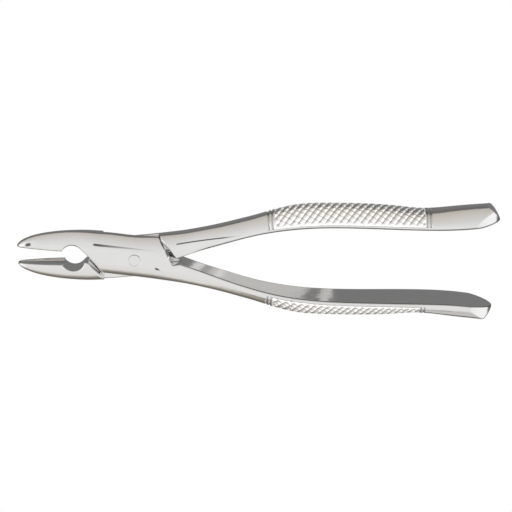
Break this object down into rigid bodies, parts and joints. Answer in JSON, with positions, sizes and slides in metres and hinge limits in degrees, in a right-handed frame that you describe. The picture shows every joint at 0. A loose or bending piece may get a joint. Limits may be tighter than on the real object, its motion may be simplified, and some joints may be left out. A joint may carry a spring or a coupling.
{
  "type": "dental extraction forceps",
  "caption": "Straight extraction forceps: two polished steel halves in a lap joint on a flush rivet, hollowed beaks with a round opening behind them, flat-backed knurled handles.",
  "frame": {"origin": "on the pivot axis, in the plane of the flat back face of the joint", "axes": "+X from the pivot towards the handle ends, beaks towards -X; +Y towards the rear half's handle; +Z out of the joint's front face, along the pivot axis"},
  "size_m": [0.1753, 0.0456, 0.013],
  "materials": {
    "polished_steel": "polished stainless steel with fine hairline scratches",
    "knurled_steel": "cut cross-knurling, polished after cutting",
    "rivet_steel": "ground and polished flush"
  },
  "bodies": {
    "rear": {"rear_half": "polished_steel", "pivot_rivet": "rivet_steel"},
    "front": {"front_half": "polished_steel"}
  },
  "joints": [
    {"name": "jaw_pivot", "type": "hinge", "parent": "rear", "child": "front", "pos_m": [0, 0, 0.0043], "axis": [0, 0, -1], "range_deg": [-8.6, 20]}
  ]
}
